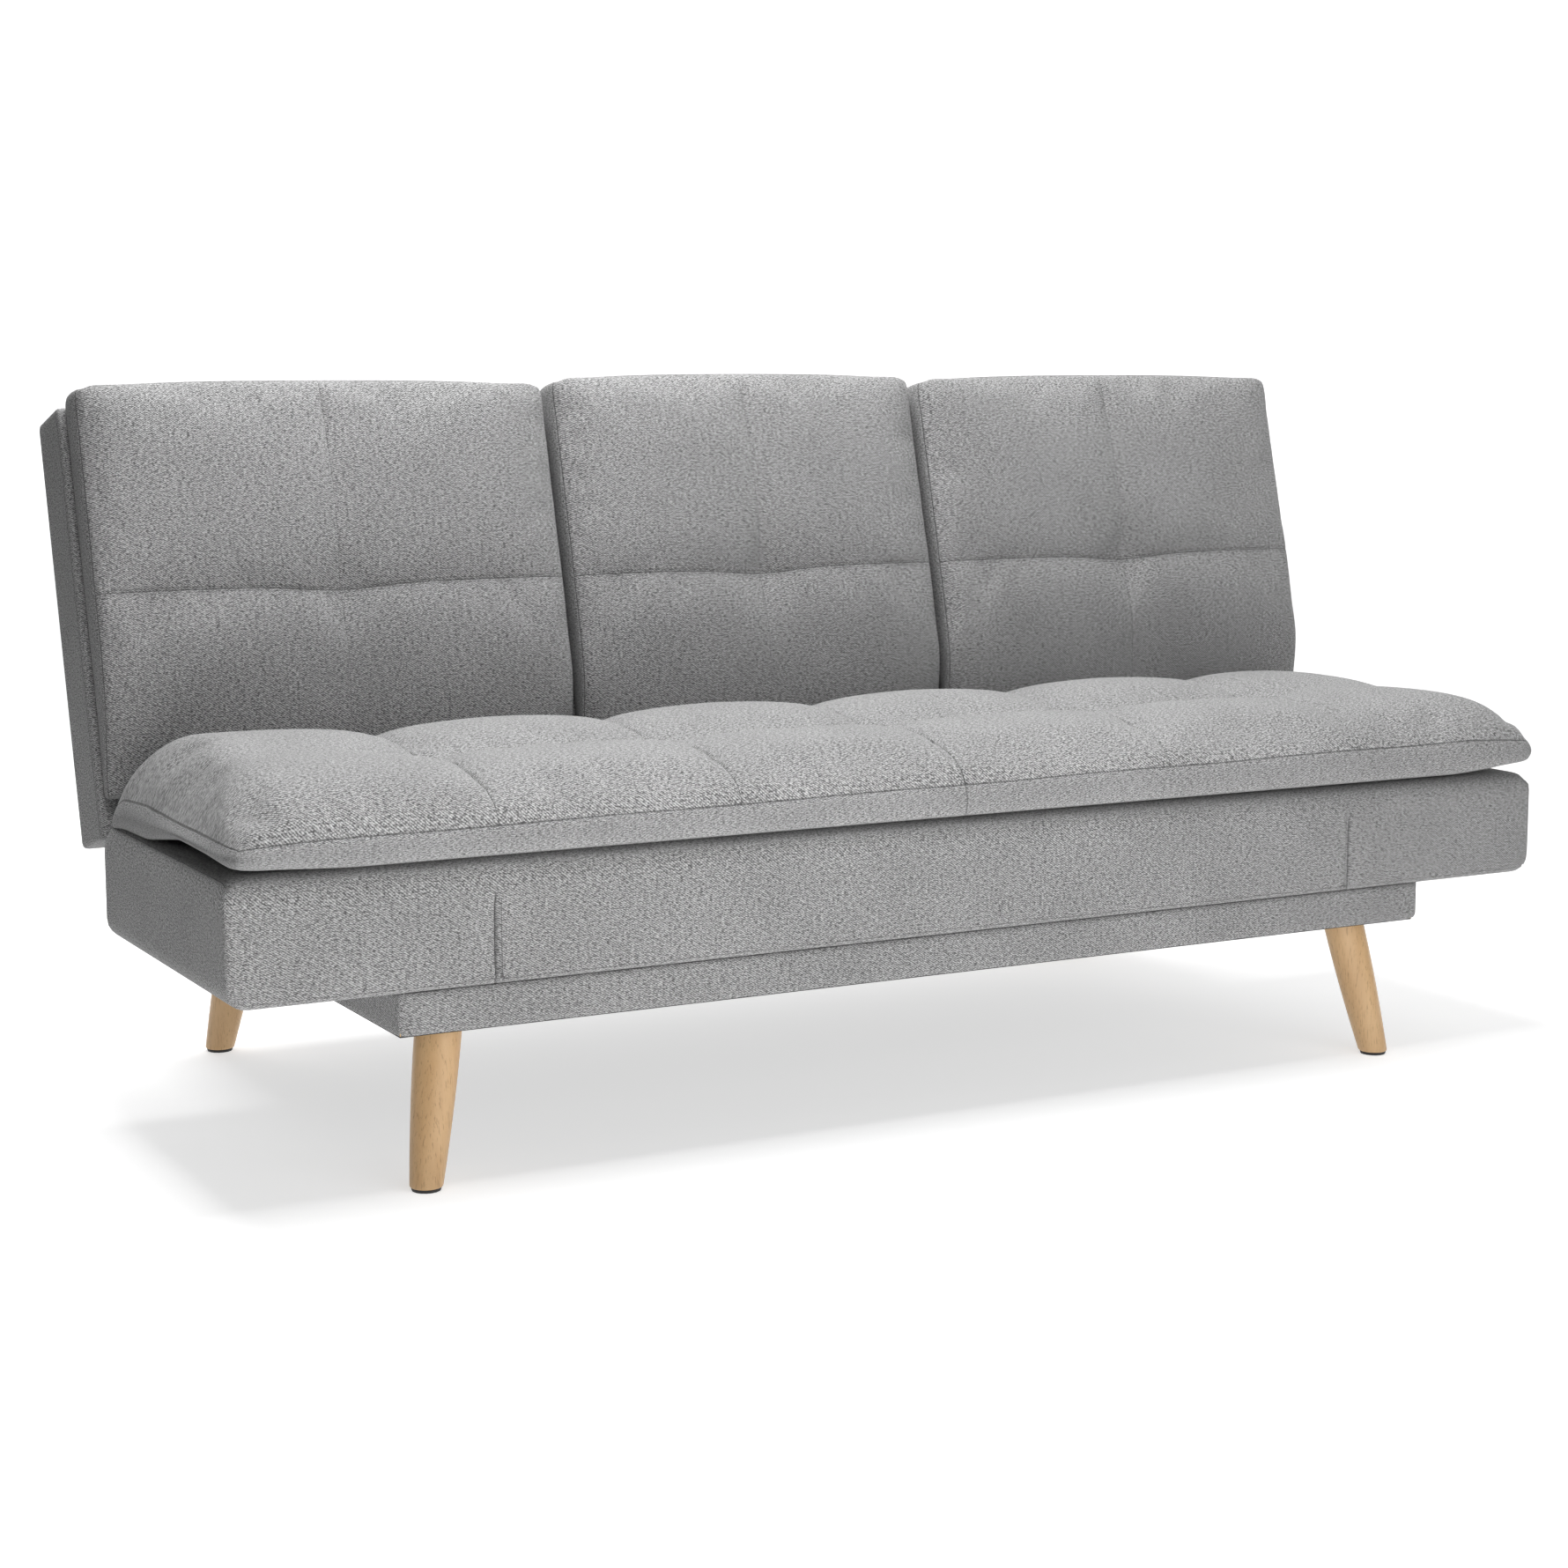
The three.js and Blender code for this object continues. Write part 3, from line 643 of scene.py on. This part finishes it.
def platform_shape(points):
    """The soft-edged, slightly crowned box that the whole platform follows."""
    radii = {("y-", "z+"): SOFT_EDGE, ("y+", "z+"): REAR_EDGE, ("y-", "z-"): HEM_EDGE,
             ("y+", "z-"): HEM_EDGE}
    for end in ("x-", "x+"):
        radii.update({(end, "z+"): END_EDGE, (end, "z-"): END_HEM, (end, "y-"): 5 * MM,
                      (end, "y+"): 7 * MM})
    low, high = PLATFORM_LOW, PLATFORM_HIGH
    out = round_edges(points, low, high, radii)
    out[:, 2] += raised(points[:, 0]) * smoothstep((points[:, 2] - fold_z) / (high[2] - fold_z))
    face = np.abs(points[:, 1] - low[1]) < 1e-5
    out[:, 1] += np.where(face, wander(points, 0.45 * MM), 0.0)
    return out


def slit_edges(points, flat, at, inward_sign, roll):
    """Below the fold axis, the cover rolls inwards at the slit and its lower corner is turned."""
    gap = (flat[:, 0] - at) * inward_sign  # how far from the slit's edge
    below = smoothstep((fold_z - flat[:, 2]) / (16 * MM))
    below *= smoothstep((flat[:, 2] - seat_low.z - 4 * MM) / (16 * MM))
    t = np.clip(1 - gap / roll, 0, 1)
    dip = (1 - np.sqrt(1 - t ** 2)) * 4.6 * MM * below
    front = flat[:, 1] < seat_low.y + 60 * MM
    rear = flat[:, 1] > seat_high.y - 60 * MM
    points[:, 1] += dip * (front.astype(float) - rear.astype(float))
    corner = 11 * MM * np.clip(1 - (flat[:, 1] - seat_low.y) / SLIT_DEEP, 0, 1)
    over_x = np.clip(corner - gap, 0, corner)
    over_z = np.clip(corner - (flat[:, 2] - seat_low.z), 0, corner)
    reach, length = np.maximum(over_x, over_z), np.maximum(np.hypot(over_x, over_z), 1e-9)
    shrink = np.where((over_x > 0) & (over_z > 0), 1 - reach / length, 0)
    points[:, 0] += over_x * shrink * inward_sign
    points[:, 2] += over_z * shrink
    return points


def platform_seams(flat):
    """On the front, a seam runs above the lower edge and beside each slit."""
    x, y, z = flat.T
    on_front = y < seat_low.y + 1e-5
    above_hem = np.abs(z - seat_low.z - SEAM_IN)
    beside_slit = np.abs(seat_high.x - SEAM_IN - np.abs(x))
    beside_slit = np.where(z < fold_z - 1e-5, beside_slit, np.hypot(beside_slit, 6 * MM))
    distance = np.minimum(above_hem + 0.4 * MM, beside_slit)
    round_end = np.where(np.abs(x) > PLATFORM_HIGH.x - 1e-5, PLATFORM_HIGH.z - z, 1.0)
    return np.where(on_front, distance, round_end)


def rigid_cover(name, body, low_x, high_x, slits):
    """One body's part of the platform cover: everything but the gussets over the folds. Each slit is
    its place and 1 where the body lies to its left, -1 where it lies to its right."""
    tight = [math.copysign(fold_x, at) - s * GUSSET for at, s in slits]
    rolled = [at - s * k * MM for at, s in slits for k in (2, 6, 9, 12)]
    xs, ys, zs = platform_grid(low_x, high_x)
    ends = [e - math.copysign(SEAM_IN, e) for e in (low_x, high_x) if abs(e) > fold_x + GUSSET]
    skin = Lattice(np.unique(np.round([*xs, *tight, *rolled, *ends], 7)), ys, zs)
    points = platform_shape(skin.flat)
    for at, s in slits:
        points = slit_edges(points, skin.flat, at, -s, 12 * MM if body != "base" else 9 * MM)
    middle = skin.flat[skin.quads].mean(1)
    keep = np.ones(len(middle), bool)
    for edge, (_, s) in zip(tight, slits):
        keep &= ~((middle[:, 2] > fold_z) & ((edge - middle[:, 0]) * s < 0))
    piece = skin.mesh(name, points, keep)
    mark_seams(piece, platform_seams)
    dress(piece, CLOTH)
    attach(piece, body)
    return piece


def fold_gusset(name, side):
    """The strip of cover over a slit, above the fold axis, dimpled a little inwards at its front and
    rear.
    """
    x0, x1 = sorted((side * (fold_x - GUSSET), side * (fold_x + GUSSET)))
    _, ys, zs = platform_grid(x0, x1)
    skin = Lattice(np.linspace(x0, x1, 15), ys, zs[zs >= fold_z - 1e-6])
    flat = skin.flat
    points = platform_shape(flat)
    middle = smoothstep(1 - np.abs(flat[:, 0] * side - fold_x) / GUSSET)
    over = (flat[:, 2] - fold_z) / (24 * MM)
    dimple = 2.5 * MM * middle * smoothstep(3 * over) * smoothstep(1 - over)
    front, rear = flat[:, 1] < seat_low.y + 60 * MM, flat[:, 1] > seat_high.y - 60 * MM
    points[:, 1] += dimple * (front.astype(float) - rear.astype(float))
    piece = skin.mesh(f"cover_fold_{name}", points, (skin.sides >= 2) & (skin.sides != 4))
    mark_seams(piece, platform_seams)
    dress(piece, CLOTH)
    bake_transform(piece)
    return piece


def platform():
    """The cover of the seat and the two wings."""
    slit = seat_high.x + SLIT_SKIN  # the base's edge of each slit
    seat = rigid_cover("platform_cover", "base", -slit, slit, ((slit, 1), (-slit, -1)))
    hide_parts("seat_cover")
    for name, side in SIDES:
        inner = (abs(wing_high.x) - SLIT_SKIN) * side
        low_x, high_x = sorted((inner, wing_low.x * -side))
        wing = rigid_cover(f"wing_cover_{name}", f"wing_{name}", low_x, high_x, ((inner, -side),))
        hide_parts(f"wing_{name}_cover")
        fold_gusset(name, side)


def base_cover():
    """The strip of cloth round the base, turned under and stapled behind the dust cloth."""
    low = Vector((base_low.x, base_low.y, base_low.z))
    high = Vector((base_high.x, base_rear, base_high.z))
    high.x += 6 * MM  # loosely stretched at this end
    turned = 30 * MM
    xs = stops(low.x, high.x, 12 * MM, (low.x, high.x), (3 * MM, turned))
    ys = stops(low.y, high.y, 12 * MM, (low.y, high.y), (3 * MM, turned))
    high.z = (base_high.z + seat_low.z) / 2  # turned in over the rails too
    skin = Lattice(xs, ys, stops(low.z, high.z, 7 * MM))
    radii = {(a, "z-"): 5 * MM for a in ("x-", "x+", "y-", "y+")}
    radii[("x+", "z-")] = 9 * MM
    radii.update({(a, b): 7 * MM for a in ("x-", "x+") for b in ("y-", "y+")})
    points = round_edges(skin.flat, low, high, radii)
    points[:, 1] += np.where(np.abs(skin.flat[:, 1] - low.y) < 1e-5, wander(skin.flat, 0.4 * MM), 0)
    middle = skin.flat[skin.quads].mean(1)
    edge = np.minimum.reduce([middle[:, 0] - low.x, high.x - middle[:, 0],
                              middle[:, 1] - low.y, high.y - middle[:, 1]])
    piece = skin.mesh("base_cover", points, (skin.sides < 4) | (edge < turned))
    mark_seams(piece, lambda flat: np.abs(base_low.z + 5 * MM - flat[:, 2]) + 1 * MM)
    dress(piece, CLOTH)
    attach(piece, "base")
    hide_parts("base_cover_front", "base_cover_rear", "base_cover_left", "base_cover_right")


# ---- the backs -------------------------------------------------------------------------------------
BACK_DEEP, BACK_LONG = 100 * MM, 536 * MM  # a back's frame in its own axes
SLOT_HIGH, SLOT_HALF = 24 * MM, 10 * MM  # the slots for the recline arms
CUSHION_LOW, CUSHION_HIGH = 49 * MM, 565 * MM  # along the slope
CUSHION_THIN, CUSHION_FULL, FULL_FROM = 25 * MM, 60 * MM, 176 * MM  # thin at the foot, full from here up
LEFT_OVERHANG = 7 * MM  # the left cushion reaches this far past its frame
SEAM_RISE = 0.47  # the cross seam's height, as a share of the cushion
SETTLED = {"left": 7 * MM, "centre": 0.0, "right": 3 * MM}  # how far each filling has sunk
ARMS = {"left": ("inner", "outer"), "centre": ("left", "right"), "right": ("inner", "outer")}


def back_cover(name):
    """The upholstery of one back's frame, with slots for the recline arms."""
    low_x, high_x = (corner.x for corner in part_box(f"back_{name}_cover"))
    arms = [sum(c.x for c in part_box(f"recline_arm_{name}_{end}")) / 2 for end in ARMS[name]]
    sides = [s * SLOT_HALF + at for at in arms for s in (-1, 1)]
    xs = stops(low_x, high_x, 12 * MM, (low_x, high_x), (3 * MM, 8 * MM))
    xs = np.unique(np.concatenate([xs, sides]))
    ys = stops(0.0, BACK_DEEP, 10 * MM, (0.0, BACK_DEEP), (3 * MM, 8 * MM, 14 * MM))
    zs = stops(0.0, BACK_LONG, 12 * MM, (0.0, BACK_LONG), (3 * MM, 8 * MM, SLOT_HIGH))
    skin = Lattice(xs, ys, zs)
    low, high = (low_x, 0.0, 0.0), (high_x, BACK_DEEP, BACK_LONG)
    radii = {("y-", "z+"): 13 * MM, ("y+", "z+"): 7 * MM, ("y-", "z-"): 6 * MM, ("y+", "z-"): 6 * MM}
    for end in ("x-", "x+"):
        radii.update({(end, side): 6 * MM for side in ("y-", "y+", "z-", "z+")})
    points = round_edges(skin.flat, low, high, radii)
    rear = np.abs(skin.flat[:, 1] - BACK_DEEP) < 1e-5
    u = (skin.flat[:, 0] - low_x) / (high_x - low_x)
    v = skin.flat[:, 2] / BACK_LONG
    sag = 2.5 * MM * np.sin(np.pi * u) * np.sin(np.pi * v)
    points[:, 1] -= np.where(rear, sag, 0)
    middle = skin.flat[skin.quads].mean(1)
    in_slot = np.zeros(len(middle), bool)
    for at in arms:
        in_slot |= (np.abs(middle[:, 0] - at) < SLOT_HALF) & (middle[:, 2] < SLOT_HIGH)
    piece = skin.mesh(f"back_frame_cover_{name}", leaned(points), ~in_slot)

    def seams(flat):
        """A seam round each end, just behind its front edge."""
        on_end = np.minimum(np.abs(flat[:, 0] - low_x), np.abs(flat[:, 0] - high_x)) < 1e-5
        return np.where(on_end, np.abs(flat[:, 1] - 8 * MM), 1.0)

    mark_seams(piece, seams)
    dress(piece, CLOTH)
    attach(piece, f"back_{name}")
    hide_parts(f"back_{name}_cover")


def wing_room(thick, height):
    """How far a cushion's front gives way, low on its back, to stay clear of a wing folded up."""
    clear = back_origin.y - seat_high.y - 1 * MM
    over = thick - (clear + height * math.sin(LEAN)) / math.cos(LEAN)
    return (over + np.hypot(over, 20 * MM)) / 2 * np.clip(thick / (20 * MM), 0, 1)


def back_cushion(name):
    """A stuffed back cushion with a cross of seams, tufted where they meet."""
    low_x, high_x = (corner.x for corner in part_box(f"back_{name}_cushion"))
    low_x -= LEFT_OVERHANG * (name == "left")
    settled = SETTLED[name]
    middle_x = (low_x + high_x) / 2
    seam_at = CUSHION_LOW + SEAM_RISE * (CUSHION_HIGH - CUSHION_LOW)
    xs = stops(low_x, high_x, 9 * MM, (middle_x,))
    zs = stops(CUSHION_LOW, CUSHION_HIGH, 9 * MM, (seam_at,))
    skin = Lattice(xs, np.linspace(-CUSHION_FULL, 0, 7), zs)
    points, pins, groove = cushion_shape(skin.flat, low_x, high_x, seam_at)
    points[:, 2] -= settled * smoothstep((points[:, 2] - seam_at) / (CUSHION_HIGH - seam_at))
    piece = skin.mesh(f"back_cushion_{name}", points)
    inflate(piece, pins, 4.5 * MM, pressure=2.2, ease=-0.02)
    points = positions(piece)
    points[:, 1] += groove
    points[:, 1] += wing_room(-points[:, 1], points[:, 2])
    set_positions(piece, leaned(points))
    subdivide(piece)

    def seams(flat):
        x, y, z = flat.T
        on_front = y < 1e-5 - CUSHION_FULL
        in_from = np.minimum.reduce([x - low_x, high_x - x, CUSHION_HIGH - z])
        edge = np.where(on_front, in_from, np.where(in_from < 1e-5, y + CUSHION_FULL, 1.0))
        upright = np.abs(x - middle_x) + 0.55 * MM  # a fainter seam
        return np.where(on_front, np.minimum(edge, upright), edge)

    def cross_seam(flat):
        return np.where(flat[:, 1] < 1e-5 - CUSHION_FULL, np.abs(flat[:, 2] - seam_at), 1.0)

    mark_seams(piece, seams, cross_seam)
    dress(piece, CLOTH)
    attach(piece, f"back_{name}")
    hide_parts(f"back_{name}_cushion")


def cushion_shape(flat, low_x, high_x, seam_at):
    """The stuffed shape that the cloth starts from, which points are sewn down, and the grooves."""
    x, y, s = flat.T
    half_x, middle_x = (high_x - low_x) / 2, (low_x + high_x) / 2
    half_s, middle_s = (CUSHION_HIGH - CUSHION_LOW) / 2, (CUSHION_HIGH + CUSHION_LOW) / 2
    a, b = x - middle_x, s - middle_s
    ra, rb = rounded_rect(a, b, half_x, half_s, 24 * MM)
    ra, rb = np.where(b > 0, ra, a), np.where(b > 0, rb, b)
    f = -y / CUSHION_FULL  # 0 against the frame, 1 on the front
    from_side = half_x - np.abs(a)
    from_top, from_low = half_s - b, half_s + b
    thicken = smoothstep(from_low / (FULL_FROM - CUSHION_LOW))
    thick = CUSHION_THIN + (CUSHION_FULL - CUSHION_THIN) * thicken
    inward = np.minimum(from_side, from_top)
    # the front falls away to the boxed sides in a stuffed curve
    fall = np.clip(1 - inward / (34 * MM), 0, 1)
    front = thick - 13 * MM * (1 - np.sqrt(1 - fall ** 2))
    # four stuffed quarters, pulled in along the seams and at the tuft
    to_seam, to_middle = np.abs(s - seam_at), np.abs(a)
    settle = smoothstep(inward / (110 * MM)) * smoothstep(from_low / (110 * MM))
    quarter = 1 - 0.8 * np.exp(-to_seam / (60 * MM))
    quarter *= 1 - 0.3 * np.exp(-to_middle / (70 * MM))
    front += 9 * MM * quarter * settle
    front -= 1.2 * MM * np.exp(-to_seam / (12 * MM)) * smoothstep(from_side / (30 * MM))
    front -= 8 * MM * np.exp(-(to_seam ** 2 + to_middle ** 2) / (40 * MM) ** 2)
    # the boxed sides swell between their seams
    inside = (f > 0) & (f < 1)
    swell = np.sin(np.pi * np.clip(f, 0, 1)) * 2.5 * MM * inside - 1.5 * MM
    ra = ra + np.sign(ra) * swell * (from_side < 1 * MM)
    rb = rb + (swell - top_drop(ra / half_x)) * (from_top < 1 * MM)
    # the tuft drags the cross seam down
    dragged = np.exp(-(to_middle / (75 * MM)) ** 2 - (to_seam / (90 * MM)) ** 2)
    rb = rb - 6 * MM * dragged * (f >= 1)
    points = np.stack([ra + middle_x, -front * f, rb + middle_s], 1)
    on_front = f >= 1 - 1e-6
    on_seam = (to_seam < 0.5 * MM) & on_front
    on_middle = (to_middle < 0.5 * MM) & on_front
    at_tuft = on_middle & (to_seam < 30 * MM)
    pins = (on_seam | at_tuft | ~on_front | (inward < 1 * MM)).astype(float)
    deeper = smoothstep(inward / (12 * MM))
    groove = np.where(on_seam, 1.2 * MM * deeper, 0.0)
    groove = np.where(on_middle, 0.5 * MM * deeper, groove)
    return points, pins, groove


def top_drop(across):
    """The top edge sags a little towards its corners."""
    return 1.0 * MM + 9.0 * MM * np.abs(across) ** 3


# ---- the legs --------------------------------------------------------------------------------------
def ring_at(points, level):
    """Centre and radius of a leg's outline at one level."""
    ring = points[np.abs(points[:, 2] - level) < 0.2 * MM]
    low, high = ring.min(0), ring.max(0)
    return (low + high) / 2, (high[0] - low[0]) / 2


def turned_leg(name):
    """A turned, tapered leg with a softened foot, sheared to its splay."""
    rings, around = 26, 56
    cad = positions(frame["nodes"][name])
    foot, foot_radius = ring_at(cad, cad[:, 2].min())
    top, top_radius = ring_at(cad, cad[:, 2].max())
    height = top[2] - foot[2]
    soften = 2.2 * MM
    levels = [0.0] + [soften * (1 - math.cos(a)) for a in np.linspace(0.4, math.pi / 2, 4)]
    levels += list(np.linspace(soften, height, rings)[1:])
    angle = np.linspace(0, 2 * math.pi, around, endpoint=False)
    points, quads = [], []
    for level in levels:
        t = level / height
        radius = foot_radius + (top_radius - foot_radius) * math.sin(t * math.pi / 2) ** 0.92
        if level < soften:
            radius -= soften * (1 - math.sin(math.acos(1 - level / soften)))
        centre = foot + (top - foot) * t
        x, y, z = centre
        points += [(x + radius * math.cos(a), y + radius * math.sin(a), z) for a in angle]
    for ring in range(len(levels) - 1):
        for k in range(around):
            a, b = ring * around + k, ring * around + (k + 1) % around
            quads.append((a, b, b + around, a + around))
    last = (len(levels) - 1) * around
    mesh = bpy.data.meshes.new(f"turned_{name}")
    faces = [*quads, tuple(reversed(range(around))), tuple(range(last, last + around))]
    mesh.from_pydata(points, [], faces)
    mesh.polygons.foreach_set("use_smooth", [len(face) == 4 for face in faces])
    piece = bpy.data.objects.new(f"turned_{name}", mesh)
    bpy.context.scene.collection.objects.link(piece)
    dress(piece, BEECH)
    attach(piece, "base")
    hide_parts(name)


# ---- camera, light and floor -------------------------------------------------------------------------
def camera():
    """The view of the sofa from its front left."""
    data = bpy.data.cameras.new("camera")
    data.sensor_width = 36.0
    data.lens = 66.13
    data.clip_end = 50.0
    eye = bpy.data.objects.new("camera", data)
    eye.location = (-1.8246, -3.3131, 0.9213)
    eye.rotation_euler = (math.radians(90 - 8.343), 0.0, math.radians(-28.51))
    bpy.context.scene.collection.objects.link(eye)
    bpy.context.scene.camera = eye


def area_light(name, place, aim, size, power):
    """A soft rectangular light."""
    data = bpy.data.lights.new(name, "AREA")
    data.shape = "RECTANGLE"
    data.size, data.size_y = size
    data.energy = power
    light = bpy.data.objects.new(name, data)
    light.location = place
    light.rotation_euler = (Vector(aim) - Vector(place)).to_track_quat("-Z", "Y").to_euler()
    bpy.context.scene.collection.objects.link(light)


def glowing(name, color, glow):
    """A plain studio surface that is lit and also gives off some light of its own."""
    m = Nodes(name)
    m.surface(color, 1.0)
    m.shader.inputs["Specular IOR Level"].default_value = 0.0
    m.shader.inputs["Emission Color"].default_value = (1.0, 1.0, 1.0, 1.0)
    m.shader.inputs["Emission Strength"].default_value = glow
    return m.material


def stage_plane(name, place, tilt, size, material):
    """A square board of the studio."""
    bpy.ops.mesh.primitive_plane_add(size=size, location=place, rotation=tilt)
    plane = bpy.context.object
    plane.name = name
    plane.data.materials.append(material)


def flag(name, place, tilt, size):
    """A black board out of view, which keeps light off one side."""
    m = Nodes(name)
    m.surface(grey(0.01), 1.0)
    stage_plane(name, place, tilt, size, m.material)
    bpy.context.object.visible_camera = False


def studio():
    """A white floor and backdrop, a large soft light above, and weaker ones in front and below."""
    stage_plane("studio_floor", (0, 0, 0), (0, 0, 0), 60.0, glowing("studio_floor", grey(0.62), 0.6))
    wall = glowing("studio_backdrop", grey(0.2), 1.05)
    stage_plane("studio_backdrop", (6.0, 11.0, 0), (math.radians(90), 0, math.radians(-28)), 60.0, wall)
    world = bpy.data.worlds.new("studio")
    world.use_nodes = True
    background = world.node_tree.nodes["Background"]
    background.inputs["Color"].default_value = (1.0, 1.0, 1.0, 1.0)
    background.inputs["Strength"].default_value = 0.39
    bpy.context.scene.world = world
    area_light("key", (-0.4, 0.1, 3.1), (-0.05, 0.1, 0.4), (2.4, 1.6), 121)
    area_light("front", (0.5, -3.2, 1.2), (0.0, 0.3, 0.5), (3.0, 1.6), 22)
    area_light("bounce", (-0.6, -1.55, 0.02), (-0.6, -1.55, 2.0), (2.2, 1.3), 25)
    flag("flag_left", (-1.6, 0.3, 1.6), (0, math.radians(90), 0), 5.0)
    flag("flag_right", (1.9, -1.7, 1.3), (0, math.radians(90), 0), 2.8)
    scene = bpy.context.scene
    scene.view_settings.view_transform = "Standard"
    scene.view_settings.look = "None"


camera()
finish_cad_nodes()
pads = {name: pad_half(name, side) for name, side in SIDES}
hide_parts("pad_centre", "pad_wing_left", "pad_fold_left")
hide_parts("pad_wing_right", "pad_fold_right")
platform()
base_cover()
for section in BACKS:
    back_cover(section)
    back_cushion(section)
for end in ("front", "rear"):
    for name, _ in SIDES:
        turned_leg(f"leg_{end}_{name}")
studio()
